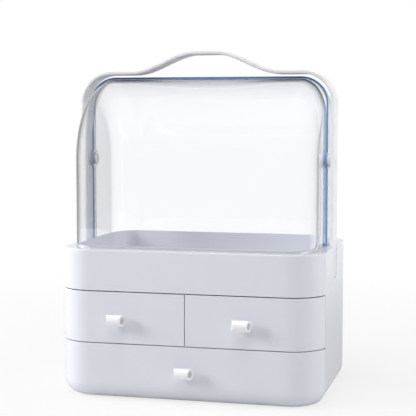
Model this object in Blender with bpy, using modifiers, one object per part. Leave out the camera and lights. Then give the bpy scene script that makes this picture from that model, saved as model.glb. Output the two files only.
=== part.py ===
"""Dustproof makeup organizer: a drawer case and open tray under two nested clear covers and a carry handle.

Metres, +Z up. The object faces -Y. Its origin is the middle of the flat face under the case, on the surface
that it stands on.
"""
import math

import bmesh
import bpy
from mathutils import Matrix, Vector

# Case
case_width = 0.290
case_depth = 0.195
corner_run_x = 0.038  # how far a corner's arc runs along the front
corner_run_y = 0.030  # and along the side, where it meets the flat side at a soft crease
bottom_round = 0.018
case_wall = 0.0025
lower_drawer_height = 0.0614
upper_drawer_height = 0.0559
tray_height = 0.0444
seam_gap = 0.001  # open line round a drawer front
fit_gap = 0.0003  # between pieces that touch
side_gap = 0.0004  # where a drawer front meets the case side

# Shelf and divider inside the case
shelf_thickness = 0.0025
divider_thickness = 0.0025

# Tray
tray_edge_round = 0.0025
lip_height = 0.003
lip_thickness = 0.002
lip_clearance = 0.0006
rib_height = 0.004
rib_thickness = 0.0018
rib_setback = 0.004  # from the drawers' fronts
rib_root = 0.005
handle_block_margin = 0.004

# Drawers
drawer_wall = 0.002
drawer_clearance = 0.001
drawer_headroom = 0.008
drawer_bottom_round = 0.004
knob_radius = 0.006
knob_length = 0.018
knob_slant = 0.0018  # how much longer the knob is at the back than at its axis, each end
knob_edge_round = 0.0009
knob_bore_radius = 0.0039
knob_core = 0.005
knob_neck_radius = 0.0034
knob_neck = 0.0044
knob_drop = 0.0014  # below the middle of an upper drawer
knob_lift = 0.0039  # above the middle of the lower drawer
left_knob_shift = -0.0015  # along X, from the middle of the drawer
right_knob_shift = -0.010
screw_radius = 0.0015
screw_head_radius = 0.0031
screw_head_height = 0.0018
knob_screw_bite = 0.0065

# Covers: the front one nests inside the rear one, which has the squarer corners
cover_side_margin = 0.0087
cover_front_margin = 0.006
cover_wall = 0.002
cover_nest_gap = 0.0006
cover_corner_x = 0.030  # how far a corner's arc runs along X, before the inset
rear_corner_r = 0.0295  # and away from the pivot axis
front_corner_r = 0.0426
pivot_above_rim = 0.0938
seam_overlap = 0.0015
ear_radius = 0.010

# Pivot pins
pin_radius = 0.003
pin_head_radius = 0.0062
pin_head_height = 0.0022
pin_head_dome = 0.0007
pin_bite = 0.006

# Handle
strap_thickness = 0.0038
strap_width = 0.028
strap_sink = 0.0004  # below the case's side, where the strap lies in the tray
strap_corner_radius = 0.035
strap_edge_round = 0.0007
handle_gap = 0.0025
grip_rise = 0.022
grip_flat_half = 0.012
grip_run_half = 0.084
tongue_length = 0.035
tongue_corner = 0.011
boss_radius = 0.0075
handle_screw_radius = 0.0014
handle_screw_bite = 0.0022
handle_screw_shares = (0.33, 0.72)  # of the tongue's length, below the rim

# Smoothness and overrun of cuts
corner_steps = 10
bottom_steps = 5
cover_corner_steps = 8
cover_arc_steps = 32
strap_corner_steps = 10
grip_steps = 14
turn_steps = 24
edge_steps = 2
smooth_angle = math.radians(30)
overrun = 0.004
weld_distance = 0.000002

# Derived sizes
half_width = case_width / 2
half_depth = case_depth / 2
corner_radius = (corner_run_x ** 2 + corner_run_y ** 2) / (2 * corner_run_y)
lower_seam = lower_drawer_height
upper_seam = lower_seam + upper_drawer_height
rim = upper_seam + tray_height
front_seam_y = corner_run_y - half_depth
tray_bottom = upper_seam + seam_gap / 2
case_top = tray_bottom - fit_gap
shelf_bottom = lower_seam - shelf_thickness / 2
shelf_top = shelf_bottom + shelf_thickness
tray_floor = tray_bottom + case_wall

cover_half_x = half_width - cover_side_margin
cover_radius = half_depth - cover_front_margin
nest_pitch = cover_wall + cover_nest_gap
front_inner_inset = nest_pitch + cover_wall
lip_inset = front_inner_inset + lip_clearance
cavity_inset = lip_inset + lip_thickness
pivot_z = rim + pivot_above_rim
cover_bottom = rim + fit_gap
cover_top = pivot_z + cover_radius

strap_half_x = half_width - strap_sink
strap_inner_x = strap_half_x - strap_thickness
strap_top = cover_top + handle_gap + strap_thickness
tongue_bottom = rim - tongue_length

upper_knob_z = (lower_seam + upper_seam) / 2 - knob_drop
lower_knob_z = lower_seam / 2 + knob_lift


def clear_scene():
    for old in list(bpy.data.objects):
        bpy.data.objects.remove(old, do_unlink=True)


def collection(name):
    made = bpy.data.collections.new(name)
    bpy.context.scene.collection.children.link(made)
    return made


def plastic(name, colour, roughness, metallic=0.0, alpha=1.0, transmission=0.0):
    made = bpy.data.materials.new(name)
    made.use_nodes = True
    shader = made.node_tree.nodes["Principled BSDF"]
    shader.inputs["Base Color"].default_value = (*colour, 1.0)
    shader.inputs["Roughness"].default_value = roughness
    shader.inputs["Metallic"].default_value = metallic
    shader.inputs["Alpha"].default_value = alpha
    shader.inputs["Transmission Weight"].default_value = transmission
    made.diffuse_color = (*colour, alpha)
    return made


clear_scene()
parts = collection("makeup_organizer")
cutters = collection("cutters")

white_abs = plastic("white_abs", (0.80, 0.81, 0.84), 0.25)
handle_plastic = plastic("handle_plastic", (0.82, 0.83, 0.86), 0.3)
clear_polystyrene = plastic("clear_polystyrene", (0.93, 0.96, 0.98), 0.05, alpha=0.35, transmission=0.9)
screw_steel = plastic("screw_steel", (0.62, 0.62, 0.60), 0.35, metallic=1.0)


def place(thing, material=None):
    """Puts a finished piece in the parts, or a piece with no material among the cutters."""
    for home in list(thing.users_collection):
        home.objects.unlink(thing)
    (parts if material else cutters).objects.link(thing)
    thing.data.materials.clear()
    if material:
        thing.data.materials.append(material)
        thing.data.shade_smooth()
        thing.data.set_sharp_from_angle(angle=smooth_angle)
    else:
        thing.hide_render = True
        thing.display_type = "WIRE"
    return thing


def set_origin(thing, point):
    thing.data.transform(Matrix.Translation(-Vector(point)))
    thing.location = point


def boolean(thing, other, operation):
    step = thing.modifiers.new(other.name, "BOOLEAN")
    step.operation = operation
    step.object = other
    step.solver = "EXACT"
    return thing


def cut(thing, *others):
    for other in others:
        boolean(thing, other, "DIFFERENCE")
    return thing


def join(thing, *others):
    for other in others:
        boolean(thing, other, "UNION")
    return thing


def box(name, low, high):
    bpy.ops.mesh.primitive_cube_add(size=1, location=(0, 0, 0))
    thing = bpy.context.object
    thing.name = name
    low, high = Vector(low), Vector(high)
    size = high - low
    thing.data.transform(Matrix.Diagonal((*size, 1)))
    thing.data.transform(Matrix.Translation((low + high) / 2))
    return thing


def rod(name, radius, start, end):
    """A round bar from one point to another."""
    start, end = Vector(start), Vector(end)
    bpy.ops.mesh.primitive_cylinder_add(vertices=turn_steps, radius=radius, depth=(end - start).length)
    thing = bpy.context.object
    thing.name = name
    turn = (end - start).to_track_quat("Z", "Y").to_matrix().to_4x4()
    thing.data.transform(Matrix.Translation((start + end) / 2) @ turn)
    return thing


def turned(name, profile, base, direction):
    """A turned piece. The profile gives radius and height, from the top of the axis down its outer side."""
    mesh = bpy.data.meshes.new(name)
    edges = [(k, k + 1) for k in range(len(profile) - 1)]
    mesh.from_pydata([(radius, 0, height) for radius, height in profile], edges, [])
    thing = bpy.data.objects.new(name, mesh)
    parts.objects.link(thing)
    thing.location = base
    thing.rotation_euler = Vector(direction).to_track_quat("Z", "Y").to_euler()
    spin = thing.modifiers.new("turn", "SCREW")
    spin.steps = turn_steps
    spin.render_steps = turn_steps
    spin.use_merge_vertices = True
    spin.merge_threshold = weld_distance
    spin.use_smooth_shade = True
    return thing


def outline_solid(name, outline, low, high, upright=False):
    """A flat outline given thickness, from low to high along Z, or along Y if it stands upright."""
    drawn = bpy.data.curves.new(name, "CURVE")
    drawn.dimensions = "2D"
    drawn.fill_mode = "BOTH"
    drawn.extrude = (high - low) / 2
    line = drawn.splines.new("POLY")
    line.points.add(len(outline) - 1)
    for point, (x, y) in zip(line.points, outline):
        point.co = (x, y, 0, 1)
    line.use_cyclic_u = True
    sketch = bpy.data.objects.new(name + "_sketch", drawn)
    cutters.objects.link(sketch)
    bpy.context.view_layer.update()
    seen = sketch.evaluated_get(bpy.context.evaluated_depsgraph_get())
    mesh = bpy.data.meshes.new_from_object(seen)
    bpy.data.objects.remove(sketch)
    shape = bmesh.new()
    shape.from_mesh(mesh)
    bmesh.ops.remove_doubles(shape, verts=shape.verts, dist=weld_distance)
    bmesh.ops.dissolve_limit(shape, angle_limit=math.radians(0.1), verts=shape.verts, edges=shape.edges)
    bmesh.ops.recalc_face_normals(shape, faces=shape.faces)
    shape.to_mesh(mesh)
    shape.free()
    mesh.transform(Matrix.Translation((0, 0, (low + high) / 2)))
    if upright:
        mesh.transform(Matrix.Rotation(math.pi / 2, 4, "X"))
    return bpy.data.objects.new(name, mesh)


def round_level(thing, level, radius, steps):
    """Rounds the edges that lie at one height."""
    shape = bmesh.new()
    shape.from_mesh(thing.data)
    edges = [e for e in shape.edges if all(abs(v.co.z - level) < weld_distance for v in e.verts)]
    bmesh.ops.bevel(shape, geom=edges, offset=radius, segments=steps, profile=0.5, affect="EDGES")
    shape.to_mesh(thing.data)
    shape.free()
    return thing


def four_corners(quarter):
    """Closes an outline from its corner in +X +Y, whose points run from the back to the side."""
    left_back = [(-x, y) for x, y in reversed(quarter)]
    left_front = [(-x, -y) for x, y in quarter]
    right_front = [(x, -y) for x, y in reversed(quarter)]
    return quarter + right_front + left_front + left_back


def case_outline(inset):
    """The case seen from above, drawn in by an inset. A corner is an arc that meets the side at a crease."""
    radius = corner_radius - inset
    centre_x = half_width - corner_run_x
    centre_y = half_depth - corner_radius
    end = math.acos((corner_run_x - inset) / radius)
    quarter = []
    for k in range(corner_steps + 1):
        angle = math.pi / 2 + (end - math.pi / 2) * k / corner_steps
        quarter.append((centre_x + radius * math.cos(angle), centre_y + radius * math.sin(angle)))
    return four_corners(quarter)


def cover_corner(inset, corner_r):
    """One corner of a cover's section through the pivots: distance along X, and from the pivot axis."""
    run_x = cover_corner_x - inset
    run_r = corner_r - inset
    corner = []
    for k in range(cover_corner_steps + 1):
        angle = math.pi / 2 * k / cover_corner_steps
        x = cover_half_x - inset - run_x * (1 - math.sin(angle))
        r = cover_radius - inset - run_r * (1 - math.cos(angle))
        corner.append((x, r))
    return corner


def tray_outline(inset):
    """What fits inside the front cover, seen from above."""
    return four_corners(cover_corner(inset, front_corner_r))


def case_block(name, inset, low, high, edge_round=0.0, forward=0.0):
    """A block with the case's outline, its lower edge rounded if asked, moved forward if asked."""
    thing = outline_solid(name, case_outline(inset), low, high)
    if edge_round:
        round_level(thing, low, edge_round, bottom_steps)
    thing.data.transform(Matrix.Translation((0, -forward, 0)))
    return thing


def cover_block(name, inset, corner_r, bottom):
    """The space under the covers: an arch about the pivot axis on straight walls, its corners drawn in."""
    corner = cover_corner(inset, corner_r)
    stations = [(-x, r) for x, r in reversed(corner)] + corner
    shape = bmesh.new()
    rings = []
    for x, r in stations:
        ring = [shape.verts.new((x, -r, bottom))]
        for k in range(cover_arc_steps + 1):
            angle = math.pi * k / cover_arc_steps
            ring.append(shape.verts.new((x, -r * math.cos(angle), pivot_z + r * math.sin(angle))))
        ring.append(shape.verts.new((x, r, bottom)))
        rings.append(ring)
    for here, there in zip(rings, rings[1:]):
        for k in range(len(here)):
            after = (k + 1) % len(here)
            shape.faces.new((here[k], here[after], there[after], there[k]))
    shape.faces.new(rings[0])
    shape.faces.new(rings[-1])
    bmesh.ops.recalc_face_normals(shape, faces=shape.faces)
    mesh = bpy.data.meshes.new(name)
    shape.to_mesh(mesh)
    shape.free()
    return bpy.data.objects.new(name, mesh)


def build_case():
    case = case_block("lower_case", 0, 0, case_top, bottom_round)
    hollow = case_block("case_hollow", case_wall, case_wall, case_top + overrun, bottom_round - case_wall)
    front = box("case_front_opening", (-case_width, -case_depth, -overrun),
                (case_width, front_seam_y + side_gap / 2, case_top + overrun))
    place(hollow)
    place(front)
    cut(case, front, hollow)
    place(case, white_abs)

    shelf = case_block("drawer_shelf", case_wall + fit_gap, shelf_bottom, shelf_top)
    place(shelf, white_abs)
    reach = half_depth - case_wall - fit_gap
    divider = box("drawer_divider", (-divider_thickness / 2, -reach, shelf_top + fit_gap),
                  (divider_thickness / 2, reach - rib_thickness - fit_gap, tray_bottom - fit_gap))
    place(divider, white_abs)


def build_tray():
    tray = case_block("top_tray", 0, tray_bottom, rim)
    round_level(tray, rim, tray_edge_round, edge_steps + 1)
    lip_top = rim + lip_height
    lip = place(outline_solid("tray_lip", tray_outline(lip_inset), tray_floor, lip_top))
    cavity = place(outline_solid("tray_cavity", tray_outline(cavity_inset), tray_floor, lip_top + overrun))

    # The wall is double: a skirt outside and the cavity's wall inside, open below, but solid at the handle
    groove = case_block("tray_groove", case_wall, tray_bottom - overrun, rim - case_wall)
    place(groove)
    core = place(outline_solid("tray_core", tray_outline(cavity_inset - case_wall),
                               tray_bottom - 2 * overrun, rim))
    block_half = strap_width / 2 + handle_block_margin
    blocks = place(box("tray_handle_blocks", (-case_width, -block_half, tray_bottom - 2 * overrun),
                       (case_width, block_half, rim)))
    cut(groove, core, blocks)

    # A rib under the skirt stands inside the case's wall and locates the tray
    rib_back = case_block("tray_rib_root", case_wall - fit_gap, tray_bottom, tray_bottom + rib_root)
    rib = case_block("tray_rib", case_wall + fit_gap, tray_bottom - rib_height, tray_bottom + rib_root)
    rib_inside = case_block("tray_rib_inside", case_wall + fit_gap + rib_thickness,
                            tray_bottom - rib_height - overrun, tray_bottom + rib_root + overrun)
    rib_front = box("tray_rib_front", (-case_width, -case_depth, tray_bottom - rib_height - overrun),
                    (case_width, front_seam_y + rib_setback, tray_bottom + rib_root + overrun))
    for thing in (rib_back, rib, rib_inside, rib_front):
        place(thing)
    join(rib, rib_back)
    cut(rib, rib_inside, rib_front)

    join(tray, lip)
    cut(tray, cavity, groove)
    join(tray, rib)
    for side in (-1, 1):
        word = "left" if side < 0 else "right"
        depth = strap_sink + strap_thickness + fit_gap
        pocket = tongue_shape(f"handle_pocket_{word}", tongue_bottom - fit_gap, rim + overrun,
                              strap_width / 2 + fit_gap, tongue_corner + fit_gap,
                              side * (half_width - depth), side * (half_width + overrun))
        place(pocket)
        cut(tray, pocket)
        face = cover_half_x - cavity_inset
        for k, share in enumerate(handle_screw_shares):
            z = rim - tongue_length * share
            seat = rod(f"handle_screw_seat_{word}_{k}", screw_head_radius + fit_gap,
                       (side * (face - overrun), 0, z), (side * (face + screw_head_height + fit_gap), 0, z))
            hole = rod(f"handle_screw_hole_{word}_{k}", handle_screw_radius + fit_gap,
                       (side * (face - overrun), 0, z), (side * (half_width + overrun), 0, z))
            place(seat)
            place(hole)
            cut(tray, seat, hole)
    place(tray, white_abs)


def tongue_shape(name, low, high, half, corner, x_start, x_end):
    """The strap's lower end seen from the side: straight edges and a foot with rounded corners."""
    foot = []
    for k in range(corner_steps + 1):
        angle = -math.pi / 2 * k / corner_steps
        foot.append((half - corner + corner * math.cos(angle), low + corner + corner * math.sin(angle)))
    outline = [(half, high)] + foot + [(-y, z) for y, z in reversed(foot)] + [(-half, high)]
    start, end = sorted((x_start, x_end))
    thing = outline_solid(name, outline, start, end)
    thing.data.transform(Matrix(((0, 0, 1, 0), (1, 0, 0, 0), (0, 1, 0, 0), (0, 0, 0, 1))))
    return thing


def grip_height(x):
    """How far the strap rises over its flat top, at a distance from the middle."""
    share = (grip_run_half - abs(x)) / (grip_run_half - grip_flat_half)
    share = min(max(share, 0), 1)
    return grip_rise * share * share * (3 - 2 * share)


def strap_line():
    """The middle of the strap's thickness, from the left tongue over the grip to the right one."""
    half = strap_half_x - strap_thickness / 2
    radius = strap_corner_radius - strap_thickness / 2
    top = strap_top - strap_thickness / 2
    right = [(half, tongue_bottom)]
    for k in range(strap_corner_steps + 1):
        angle = math.pi / 2 * k / strap_corner_steps
        right.append((half - radius + radius * math.cos(angle), top - radius + radius * math.sin(angle)))
    for k in range(grip_steps + 1):
        x = grip_run_half + (grip_flat_half - grip_run_half) * k / grip_steps
        right.append((x, top + grip_height(x)))
    return [(-x, z) for x, z in right] + list(reversed(right))


def offset_line(line, distance):
    """The line moved sideways, along the mean of the normals at each point."""
    moved = []
    for k, (x, z) in enumerate(line):
        before = Vector(line[max(k - 1, 0)])
        after = Vector(line[min(k + 1, len(line) - 1)])
        here = Vector((x, z))
        directions = [(b - a).normalized() for a, b in ((before, here), (here, after)) if (b - a).length > 0]
        along = sum(directions, Vector((0, 0))).normalized()
        lean = along.dot(directions[0])
        moved.append((x - along.y * distance / lean, z + along.x * distance / lean))
    return moved


def build_handle():
    line = strap_line()
    outer = offset_line(line, strap_thickness / 2)
    inner = offset_line(line, -strap_thickness / 2)
    strap = outline_solid("carry_handle", outer + list(reversed(inner)), -strap_width / 2, strap_width / 2,
                          upright=True)
    soften = bmesh.new()
    soften.from_mesh(strap.data)
    sides = [e for e in soften.edges if abs(abs(e.verts[0].co.y) - strap_width / 2) < weld_distance
             and abs(e.verts[0].co.y - e.verts[1].co.y) < weld_distance]
    bmesh.ops.bevel(soften, geom=sides, offset=strap_edge_round, segments=edge_steps, profile=0.5,
                    affect="EDGES")
    soften.to_mesh(strap.data)
    soften.free()

    # The tongues' corners are rounded by what is left of a block outside their shape
    low = tongue_bottom - overrun
    waste = box("tongue_waste", (-case_width, -case_depth, low),
                (case_width, case_depth, rim - tongue_corner))
    shape = tongue_shape("tongue_keep", tongue_bottom, rim, strap_width / 2, tongue_corner,
                         -case_width - overrun, case_width + overrun)
    place(waste)
    place(shape)
    cut(waste, shape)
    cut(strap, waste)

    for side in (-1, 1):
        word = "left" if side < 0 else "right"
        boss_end = cover_half_x + fit_gap
        boss = rod(f"pivot_boss_{word}", boss_radius,
                   (side * (strap_inner_x + strap_thickness / 2), 0, pivot_z), (side * boss_end, 0, pivot_z))
        join(strap, place(boss))
        bore = rod(f"pivot_bore_{word}", pin_radius + fit_gap, (side * (boss_end - overrun), 0, pivot_z),
                   (side * (boss_end + pin_bite + fit_gap), 0, pivot_z))
        cut(strap, place(bore))
        for k, share in enumerate(handle_screw_shares):
            z = rim - tongue_length * share
            hole = rod(f"tongue_screw_hole_{word}_{k}", handle_screw_radius + fit_gap,
                       (side * (strap_inner_x - overrun), 0, z),
                       (side * (strap_inner_x + handle_screw_bite + fit_gap), 0, z))
            cut(strap, place(hole))
    place(strap, handle_plastic)


def build_cover(name, inset, corner_r, toward):
    """One clear half cover. It faces -Y for toward = -1, and its ears reach past the pivot axis."""
    cover = cover_block(name, inset, corner_r, cover_bottom)
    hollow = cover_block(name + "_hollow", inset + cover_wall, corner_r, cover_bottom - overrun)
    place(hollow)
    edge = -toward * seam_overlap
    far = -toward * case_depth
    low = (-case_width, min(edge, far), 0)
    high = (case_width, max(edge, far), cover_top + overrun)
    other_half = place(box(name + "_other_half", low, high))
    ears = place(rod(name + "_ears", ear_radius, (-case_width - overrun, 0, pivot_z),
                     (case_width + overrun, 0, pivot_z)))
    cut(other_half, ears)
    bore = rod(name + "_bore", pin_radius + fit_gap, (-case_width, 0, pivot_z), (case_width, 0, pivot_z))
    cut(cover, hollow, other_half, place(bore))
    place(cover, clear_polystyrene)
    set_origin(cover, (0, 0, pivot_z))


def build_fasteners():
    for side in (-1, 1):
        word = "left" if side < 0 else "right"
        head_x = side * (cover_half_x - front_inner_inset - fit_gap)
        tip = cover_half_x + fit_gap + pin_bite - abs(head_x)
        profile = [(0, tip), (pin_radius, tip), (pin_radius, 0), (pin_head_radius, 0),
                   (pin_head_radius, pin_head_dome - pin_head_height),
                   (pin_head_radius - pin_head_dome, -pin_head_height), (0, -pin_head_height)]
        place(turned(f"{word}_pivot_pin", profile, (head_x, 0, pivot_z), (side, 0, 0)), handle_plastic)

        face = cover_half_x - cavity_inset
        length = strap_inner_x + handle_screw_bite - face
        for k, share in enumerate(handle_screw_shares):
            z = rim - tongue_length * share
            profile = [(0, length), (handle_screw_radius, length), (handle_screw_radius, screw_head_height),
                       (screw_head_radius, screw_head_height), (screw_head_radius, 0), (0, 0)]
            screw = turned(f"{word}_handle_screw_{k}", profile, (side * face, 0, z), (side, 0, 0))
            place(screw, screw_steel)


def build_drawer(word, low, high, x_low, x_high, knob_shift, knob_z, edge_round):
    """A drawer box with its wrap-round front, knob and screw. The front spans low to high."""
    inner_round = max(edge_round - case_wall, 0)
    front = case_block(f"{word}_drawer_front", 0, low, high, edge_round)
    bottom = low + case_wall if edge_round else low - overrun
    hollow = case_block(f"{word}_front_hollow", case_wall, bottom, high + overrun, inner_round)
    behind = box(f"{word}_front_behind", (-case_width, front_seam_y - side_gap / 2, low - overrun),
                 (case_width, case_depth, high + overrun))
    cut(front, place(hollow), place(behind))

    floor = case_wall + fit_gap if edge_round else shelf_top + fit_gap
    ceiling = high - drawer_headroom
    inset = case_wall + drawer_clearance
    forward = drawer_clearance - fit_gap
    tub_round = inner_round if edge_round else drawer_bottom_round
    tub = case_block(f"{word}_drawer_box", inset, floor, ceiling, tub_round, forward)
    room = case_block(f"{word}_drawer_room", inset + drawer_wall, floor + drawer_wall, ceiling + overrun,
                      tub_round - drawer_wall, forward)

    # An upper drawer stops short of its neighbour, and its box short of the divider
    middle = (x_low + x_high) / 2
    if middle:
        side = math.copysign(1, middle)
        for thing, edge in ((front, seam_gap / 2), (tub, divider_thickness / 2 + drawer_clearance),
                            (room, divider_thickness / 2 + drawer_clearance + drawer_wall)):
            start, end = sorted((side * edge, -side * case_width))
            past = box(f"{thing.name}_past_middle", (start, -case_depth, low - 2 * overrun),
                       (end, case_depth, high + 2 * overrun))
            cut(thing, place(past))
    cut(tub, place(room))

    face = -half_depth
    knob_x = middle + knob_shift
    axis_y = face - fit_gap - knob_neck - knob_radius
    bpy.ops.mesh.primitive_cylinder_add(vertices=turn_steps, radius=knob_radius, depth=knob_length)
    knob = bpy.context.object
    knob.name = f"{word}_drawer_knob"
    knob.data.transform(Matrix.Rotation(math.pi / 2, 4, "Y"))
    for vertex in knob.data.vertices:
        vertex.co.x += math.copysign(knob_slant * vertex.co.y / knob_radius, vertex.co.x)
    knob.data.transform(Matrix.Translation((knob_x, axis_y, knob_z)))
    edge = knob.modifiers.new("edge", "BEVEL")
    edge.width = knob_edge_round
    edge.segments = edge_steps
    edge.limit_method = "ANGLE"
    edge.angle_limit = smooth_angle
    neck = place(rod(f"{word}_knob_neck", knob_neck_radius, (knob_x, face - fit_gap, knob_z),
                     (knob_x, axis_y, knob_z)))
    join(knob, neck)
    for sign in (-1, 1):
        bore = rod(f"{word}_knob_bore_{sign + 1}", knob_bore_radius,
                   (knob_x + sign * knob_core / 2, axis_y, knob_z),
                   (knob_x + sign * knob_length, axis_y, knob_z))
        cut(knob, place(bore))

    head_y = face + case_wall + fit_gap + drawer_wall + fit_gap
    tip_y = face - fit_gap - knob_screw_bite
    hole = place(rod(f"{word}_screw_hole", screw_radius + fit_gap, (knob_x, head_y + overrun, knob_z),
                     (knob_x, tip_y - fit_gap, knob_z)))
    for thing in (front, tub, knob):
        cut(thing, hole)
    length = head_y - tip_y
    profile = [(0, length), (screw_radius, length), (screw_radius, 0), (screw_head_radius, 0),
               (screw_head_radius, -screw_head_height), (0, -screw_head_height)]
    screw = turned(f"{word}_drawer_screw", profile, (knob_x, head_y, knob_z), (0, -1, 0))

    place(tub, white_abs)
    place(front, white_abs)
    place(knob, white_abs)
    place(screw, screw_steel)


build_case()
build_tray()
build_handle()
build_cover("front_cover", nest_pitch, front_corner_r, -1)
build_cover("rear_cover", 0, rear_corner_r, 1)
build_fasteners()
upper_low = lower_seam + seam_gap / 2
upper_high = upper_seam - seam_gap / 2
lower_high = lower_seam - seam_gap / 2
build_drawer("left", upper_low, upper_high, -half_width, 0, left_knob_shift, upper_knob_z, 0)
build_drawer("right", upper_low, upper_high, 0, half_width, right_knob_shift, upper_knob_z, 0)
build_drawer("lower", fit_gap, lower_high, -half_width, half_width, 0, lower_knob_z, bottom_round)
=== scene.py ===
"""Dustproof makeup organizer: moulded white case and tray, drawers with small round knobs, two clear half
covers on a shared pivot, and a strap handle. Sizes are in metres, +Z up, and the drawers open towards -Y."""
import math

import bmesh
import bpy
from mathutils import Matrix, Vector


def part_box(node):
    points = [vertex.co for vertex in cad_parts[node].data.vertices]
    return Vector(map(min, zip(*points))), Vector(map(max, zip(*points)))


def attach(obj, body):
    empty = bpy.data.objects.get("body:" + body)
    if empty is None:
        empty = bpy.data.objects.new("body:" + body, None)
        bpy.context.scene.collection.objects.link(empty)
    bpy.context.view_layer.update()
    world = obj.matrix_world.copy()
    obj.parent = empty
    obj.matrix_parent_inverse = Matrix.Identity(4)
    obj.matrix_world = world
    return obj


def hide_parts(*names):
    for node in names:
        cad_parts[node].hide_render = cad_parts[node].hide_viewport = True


bl_info = {
    "name": "Makeup Organizer",
    "version": (1, 0, 0),
    "blender": (4, 5, 0),
    "location": "3D View > Sidebar > Organizer",
    "description": "Builds a makeup organizer with drawers, a tray, clear half covers and a strap handle",
    "category": "Add Mesh",
}

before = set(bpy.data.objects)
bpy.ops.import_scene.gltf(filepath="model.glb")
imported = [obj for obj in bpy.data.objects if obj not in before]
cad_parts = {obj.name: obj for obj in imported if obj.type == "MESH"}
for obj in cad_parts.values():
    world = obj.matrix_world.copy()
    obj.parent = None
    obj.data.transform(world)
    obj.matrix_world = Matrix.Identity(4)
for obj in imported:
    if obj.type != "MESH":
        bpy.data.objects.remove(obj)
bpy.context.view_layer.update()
case_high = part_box("lower_case")[1]
tray_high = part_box("top_tray")[1]
cover_low, cover_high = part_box("rear_cover")
inner_cover_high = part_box("front_cover")[1]
strap_low, strap_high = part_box("carry_handle")

SIDES = {"left": -1, "right": 1}
DRAWERS = ("left", "right", "lower")
UP = Vector((0, 0, 1))

# Sizes the moulder would work to, the same ones that the solids were made from
CORNER_RUN_X = 0.038  # how far a corner's arc runs along the front
CORNER_RUN_Y = 0.030  # and along the side
BOTTOM_ROUND = 0.018
WALL = 0.0025
GAP = 0.0003  # between pieces that touch
SEAM = 0.001  # open line round a drawer front
SIDE_SEAM = 0.0004  # where a drawer front meets the case's side
LIP_CLEARANCE = 0.0006
LIP_THICKNESS = 0.002
COVER_WALL = 0.002
COVER_RUN_X = 0.030  # how far a cover's corner arc runs across the box
REAR_RUN_R = 0.0295  # and away from the pivots, on the rear cover
FRONT_RUN_R = 0.0426
COVER_LAP = 0.0015  # how far each half cover reaches past the middle
EAR_RADIUS = 0.010
PIN_RADIUS = 0.003
PIN_BITE = 0.006  # how far a pin reaches into the handle
PIN_HEAD_HEIGHT = 0.0022
DRAWER_WALL = 0.002
DRAWER_CLEARANCE = 0.001
DRAWER_BOTTOM_ROUND = 0.004
KNOB_RADIUS = 0.006
KNOB_LENGTH = 0.018
KNOB_SLANT = 0.0018  # how much longer the knob is at the back than at its axis, each end
KNOB_CORE = 0.005  # solid middle between the two bores
KNOB_BORE = 0.0039
KNOB_NECK = 0.0034
STRAP_THICKNESS = 0.0038
STRAP_CORNER = 0.035
TONGUE_CORNER = 0.011
GRIP_FLAT = 0.012  # half the grip's level middle
GRIP_RUN = 0.084  # and half of its whole length
GRIP_RISE = 0.022
BOSS_RADIUS = 0.0075
HANDLE_SCREW_RADIUS = 0.0014
DRAWER_SCREW_RADIUS = 0.0015
SCREW_HEAD_HEIGHT = 0.0018

# Sizes that only the looks need
THIN_LIP_SHARE = 0.7  # of the edge softness, on the tray with its thin lip
KNOB_SOFTNESS = 0.0008
COVER_SOFTNESS = 0.0004
STRAP_SOFTNESS = 0.0007
BOSS_SOFTNESS = 0.0006
PIN_SOFTNESS = 0.0002
PIN_DOME = 0.0012
SCREW_DOME = 0.0009
SHANK_START = 0.001  # below the top of the head
RECESS_SHARE = 0.62  # of the screw head's radius
RECESS_HALF = 0.00035
RECESS_DEPTH = 0.0011
RECESS_OVERRUN = 0.001
SKIN_GAP = 0.00002
SKIN_DEPTH = 0.0001
SAWN_FACING = 0.4  # the least that a sawn face's normal points along y

# Places that follow from the frame and the sizes
HALF_WIDTH = case_high.x
HALF_DEPTH = tray_high.y
FAR_X = 2 * HALF_WIDTH
FAR_Y = 2 * HALF_DEPTH
CORNER_RADIUS = (CORNER_RUN_X ** 2 + CORNER_RUN_Y ** 2) / (2 * CORNER_RUN_Y)
SEAM_Y = CORNER_RUN_Y - HALF_DEPTH
COVER_HALF_X = cover_high.x
COVER_RADIUS = cover_high.y
PIVOT_Z = cover_high.z - COVER_RADIUS
COVER_BOTTOM = cover_low.z
FRONT_INSET = COVER_HALF_X - inner_cover_high.x
INNER_INSET = FRONT_INSET + COVER_WALL
LIP_INSET = INNER_INSET + LIP_CLEARANCE
CAVITY_INSET = LIP_INSET + LIP_THICKNESS
RIM = COVER_BOTTOM - GAP
TRAY_BOTTOM = case_high.z + GAP
STRAP_WIDTH = strap_high.y - strap_low.y
STRAP_OUT = strap_high.x
STRAP_TOP = strap_high.z - GRIP_RISE
TONGUE_BOTTOM = strap_low.z

# Steps round each kind of curve, overrun of cuts, and how near counts as the same place
CORNER_STEPS = 24
ROUND_STEPS = 10
RIM_STEPS = 6
SEAM_STEPS = 4
PIN_DOME_STEPS = 5
SCREW_DOME_STEPS = 4
ARC_STEPS = 72
TONGUE_STEPS = 12
BEND_STEPS = 20
GRIP_STEPS = 40
SHANK_STEPS = 32
ROD_STEPS = 48
FINE_STEPS = 64
EAR_STEPS = 96
OVERRUN = 0.004
CLOSE = 1e-5
WELD = 1e-6

# The widest angle in degrees, between neighbouring faces, that is still shaded smooth
SMOOTH_ANGLE = 35
STRAP_SMOOTH_ANGLE = 50

# The photograph's camera, fitted to the edges of the box: angles in degrees, focal length in pixels
PHOTO_WIDTH = 416
FOCAL_PIXELS = 1179.34
SENSOR_WIDTH = 36
CAMERA_PLACE = (0.32295, -1.28062, 0.3087)
CAMERA_DOWN = 4.68
CAMERA_TURN = 14.11
CAMERA_REACH = 20
FLOOR_SIZE = 30

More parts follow.
